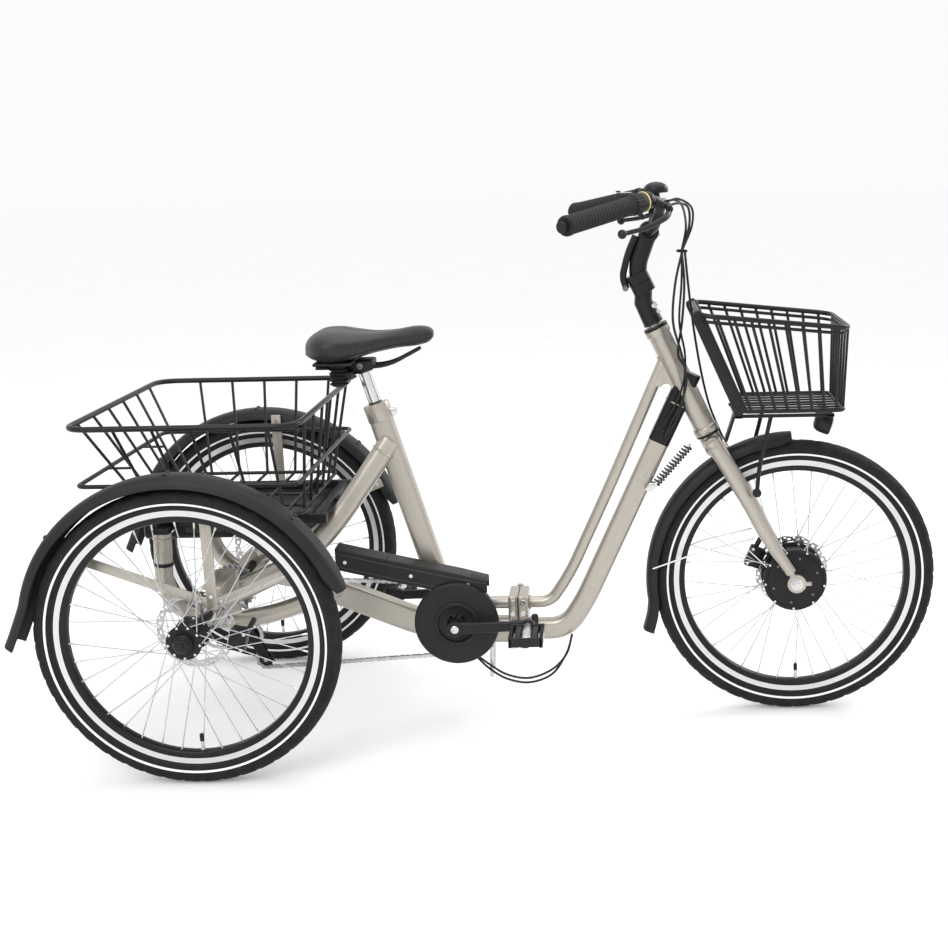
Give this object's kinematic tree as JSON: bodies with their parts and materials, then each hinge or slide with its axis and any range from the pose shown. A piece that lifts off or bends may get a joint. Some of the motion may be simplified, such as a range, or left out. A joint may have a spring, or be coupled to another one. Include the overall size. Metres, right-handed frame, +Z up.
{
  "type": "adult tricycle",
  "caption": "Folding-frame electric adult tricycle with spoked wheels, wire baskets front and rear, a folding stem, rack battery and chain drive.",
  "frame": {"origin": "centre of the bounding box on the ground plane", "axes": "+X forward (direction of travel), +Y to the rider's left, +Z up; the tyres stand on z = 0"},
  "size_m": [1.873, 0.806, 1.137],
  "materials": {
    "champagne": "satin metallic paint",
    "black_satin": "satin",
    "black_plastic": "matte",
    "silver": "brushed",
    "tyre_rubber": "matte",
    "rim_black": "satin",
    "saddle_skin": "soft satin",
    "red_lens": "gloss",
    "clear_lens": "clear gloss"
  },
  "bodies": {
    "rear_half": {"rear_frame": "champagne", "stand_loop": "silver", "rear_rack": "black_plastic", "rear_basket": "black_satin", "fender_rear_right": "black_plastic", "fender_rear_left": "black_plastic", "caliper_rear_right": "black_satin", "caliper_rear_left": "black_satin", "derailleur": "black_plastic", "chain": "silver", "chain_cover": "black_plastic", "cables_fold": "black_plastic"},
    "battery_pack": {"battery": "black_plastic", "tail_light": "red_lens"},
    "seat": {"seat_post": "silver", "saddle_frame": "black_satin", "saddle": "saddle_skin"},
    "wheel_right": {"tyre_rear_right": "tyre_rubber", "wheel_rear_right": "rim_black", "rotor_rear_right": "silver", "rear_axle_right": "black_satin"},
    "wheel_left": {"tyre_rear_left": "tyre_rubber", "wheel_rear_left": "rim_black", "rotor_rear_left": "silver", "rear_axle_left": "black_satin"},
    "cassette_body": {"cassette": "silver"},
    "crankset": {"crank_right": "black_satin", "crank_left": "black_satin", "chainring": "black_satin", "chain_guard_disc": "black_plastic"},
    "pedal_right_body": {"pedal_right": "black_plastic"},
    "pedal_left_body": {"pedal_left": "black_plastic"},
    "front_half": {"front_frame": "champagne", "steering_spring": "black_satin", "cables_front": "black_plastic"},
    "coupler_lever": {"fold_latch": "black_satin"},
    "steered": {"fork": "champagne", "front_axle": "silver", "caliper_front": "black_satin", "fender_front": "black_plastic", "front_carrier": "black_satin", "front_basket": "black_satin", "headlamp": "black_plastic", "headlamp_lens": "clear_lens", "stem_base": "black_satin"},
    "wheel_front_body": {"wheel_front": "rim_black", "tyre_front": "tyre_rubber", "rotor_front": "silver"},
    "bars": {"stem_upper": "black_satin", "handlebar": "black_satin", "grip_right": "black_plastic", "grip_left": "black_plastic", "bell": "black_satin", "display": "black_plastic"},
    "stem_lever": {"stem_latch": "black_satin"},
    "shifter": {"shift_twist": "black_plastic"},
    "lever_right": {"brake_lever_right": "black_satin"},
    "lever_left": {"brake_lever_left": "black_satin"},
    "bell_lever": {"bell_striker": "silver"},
    "display_key": {"display_button": "black_satin"}
  },
  "joints": [
    {"name": "frame_fold", "type": "hinge", "parent": "rear_half", "child": "front_half", "pos_m": [0.04, 0.052, 0.2175], "axis": [0, 0, 1], "range_deg": [0, 120], "deforming": ["cables_fold"]},
    {"name": "fold_latch_open", "type": "hinge", "parent": "front_half", "child": "coupler_lever", "pos_m": [0.0765, -0.056, 0.21], "axis": [0, 0, 1], "range_deg": [0, 90]},
    {"name": "steering", "type": "hinge", "parent": "front_half", "child": "steered", "pos_m": [0.4495, 0, 0.621], "axis": [-0.4325, 0, 0.9017], "range_deg": [-50, 50], "stiffness_Nm_per_rad": 3, "deforming": ["steering_spring", "cables_front"]},
    {"name": "front_wheel_spin", "type": "hinge", "parent": "steered", "child": "wheel_front_body", "pos_m": [0.636, 0, 0.3005], "axis": [0, 1, 0], "continuous": true},
    {"name": "rear_wheel_right_spin", "type": "hinge", "parent": "rear_half", "child": "wheel_right", "pos_m": [-0.5805, -0.349, 0.3005], "axis": [0, 1, 0], "continuous": true},
    {"name": "rear_wheel_left_spin", "type": "hinge", "parent": "rear_half", "child": "wheel_left", "pos_m": [-0.5805, 0.349, 0.3005], "axis": [0, 1, 0], "continuous": true},
    {"name": "cassette_spin", "type": "hinge", "parent": "rear_half", "child": "cassette_body", "pos_m": [-0.5805, 0, 0.3005], "axis": [0, 1, 0], "continuous": true},
    {"name": "crank_spin", "type": "hinge", "parent": "rear_half", "child": "crankset", "pos_m": [-0.0875, 0, 0.235], "axis": [0, 1, 0], "continuous": true},
    {"name": "pedal_right_spin", "type": "hinge", "parent": "crankset", "child": "pedal_right_body", "pos_m": [0.0673, -0.19, 0.24], "axis": [0, 1, 0], "continuous": true},
    {"name": "pedal_left_spin", "type": "hinge", "parent": "crankset", "child": "pedal_left_body", "pos_m": [-0.2423, 0.19, 0.23], "axis": [0, 1, 0], "continuous": true},
    {"name": "seat_height", "type": "slide", "parent": "rear_half", "child": "seat", "axis": [-0.2802, 0, 0.9599], "range_m": [-0.03, 0.08]},
    {"name": "battery_slide", "type": "slide", "parent": "rear_half", "child": "battery_pack", "axis": [-1, 0, 0], "range_m": [0, 0.21]},
    {"name": "stem_fold", "type": "hinge", "parent": "steered", "child": "bars", "pos_m": [0.3345, 0, 0.9452], "axis": [0, 1, 0], "range_deg": [0, 60], "deforming": ["cables_front"]},
    {"name": "stem_latch_open", "type": "hinge", "parent": "steered", "child": "stem_lever", "pos_m": [0.2815, 0, 0.925], "axis": [0, -1, 0], "range_deg": [0, 110]},
    {"name": "gear_twist", "type": "hinge", "parent": "bars", "child": "shifter", "pos_m": [0.3305, -0.1385, 1.1053], "axis": [-0.6379, -0.7551, -0.151], "range_deg": [0, 95]},
    {"name": "brake_right_squeeze", "type": "hinge", "parent": "bars", "child": "lever_right", "pos_m": [0.3675, -0.1405, 1.084], "axis": [-0.4583, 0.5532, -0.6957], "range_deg": [0, 9], "stiffness_Nm_per_rad": 4},
    {"name": "brake_left_squeeze", "type": "hinge", "parent": "bars", "child": "lever_left", "pos_m": [0.3675, 0.1405, 1.084], "axis": [0.4583, 0.5532, 0.6957], "range_deg": [0, 9], "stiffness_Nm_per_rad": 4},
    {"name": "bell_ring", "type": "hinge", "parent": "bars", "child": "bell_lever", "pos_m": [0.3125, -0.05, 1.108], "axis": [0, 0, 1], "range_deg": [-20, 20], "stiffness_Nm_per_rad": 0.02},
    {"name": "display_press", "type": "slide", "parent": "bars", "child": "display_key", "axis": [0, 0, -1], "range_m": [0, 0.0002], "stiffness_N_per_m": 800}
  ],
  "couplings": [
    {"joint": "crank_spin", "follows": "cassette_spin", "ratio": 0.2895}
  ]
}
